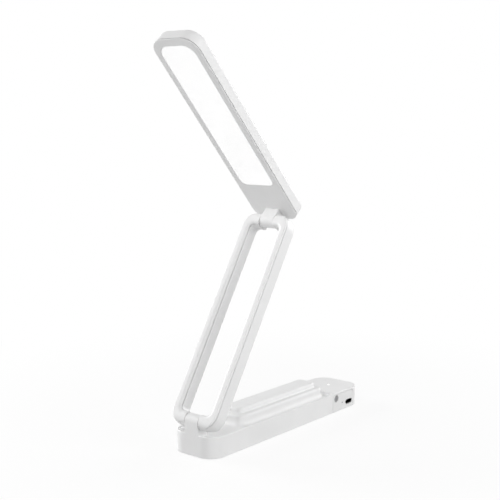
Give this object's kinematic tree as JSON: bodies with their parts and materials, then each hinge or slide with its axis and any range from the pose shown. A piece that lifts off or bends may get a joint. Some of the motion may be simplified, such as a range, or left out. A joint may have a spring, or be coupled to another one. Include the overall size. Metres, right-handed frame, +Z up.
{
  "type": "folding led desk lamp",
  "caption": "Rechargeable desk lamp that folds flat: a long base, a two-bar hinged arm and a long flat light head.",
  "frame": {"origin": "middle of the base, on the underside of its anti-slip pad, where the lamp rests", "axes": "+Z up; -X towards the hinge end of the base, +X towards the end with the touch key; -Y towards the side with the button and socket"},
  "size_m": [0.2068, 0.0416, 0.3018],
  "materials": {
    "white_abs": "fine satin moulded",
    "button_abs": "satin moulded, light grey",
    "dark_abs": "matt moulded, black",
    "silicone_rubber": "matt grey",
    "zinc_steel": "zinc plated",
    "nickel_steel": "bright nickel plated",
    "bronze_washer": "plain",
    "cell_can": "shrink sleeve over a can",
    "lead_sleeve": "soft sleeve",
    "clear_acrylic": "clear, polished",
    "milky_acrylic": "milky, fine matt, lit from behind",
    "circuit_board": "green solder mask",
    "light_board_aluminium": "white solder mask on aluminium",
    "emitter_package": "yellow phosphor in a white case"
  },
  "bodies": {
    "base": {"base_housing": "white_abs", "base_bottom_cover": "white_abs", "anti_slip_pad": "silicone_rubber", "base_screws": "zinc_steel", "ballast_plate": "zinc_steel", "battery_cell": "cell_can", "battery_cradle": "dark_abs", "battery_leads": "lead_sleeve", "base_lead": "lead_sleeve", "port_panel": "white_abs", "button_switch": "dark_abs", "status_light_pipe": "clear_acrylic", "socket_shell": "nickel_steel", "socket_tongue": "dark_abs", "main_board": "circuit_board", "board_screws": "zinc_steel", "touch_electrode": "nickel_steel", "touch_spring": "nickel_steel", "touch_dot_pipe": "clear_acrylic"},
    "power_button": {"power_button": "button_abs"},
    "arm": {"arm_rear_shell_port_side": "white_abs", "arm_front_cover_port_side": "white_abs", "arm_rear_shell_far_side": "white_abs", "arm_front_cover_far_side": "white_abs", "arm_lead": "lead_sleeve", "lower_hinge_bolt": "nickel_steel", "lower_hinge_nut": "nickel_steel", "lower_friction_washers": "bronze_washer", "upper_hinge_bolt": "nickel_steel", "upper_hinge_nut": "nickel_steel", "upper_friction_washers": "bronze_washer"},
    "head": {"head_back_shell": "white_abs", "head_bezel": "white_abs", "diffuser_panel": "milky_acrylic", "light_board": "light_board_aluminium", "light_emitters": "emitter_package", "led_board_screws": "zinc_steel", "head_bracket": "white_abs", "bracket_screws": "zinc_steel", "head_lead": "lead_sleeve"}
  },
  "joints": [
    {"name": "lower_hinge", "type": "hinge", "parent": "base", "child": "arm", "pos_m": [-0.0898, 0, 0.0249], "axis": [0, -1, 0], "range_deg": [-55.9, 52.1]},
    {"name": "upper_hinge", "type": "hinge", "parent": "arm", "child": "head", "pos_m": [-0.00318, 0, 0.16298], "axis": [0, 1, 0], "range_deg": [-105.6, 14.4]},
    {"name": "power_button_press", "type": "slide", "parent": "base", "child": "power_button", "axis": [0, 1, 0], "range_m": [0, 0.0006], "stiffness_N_per_m": 400}
  ]
}
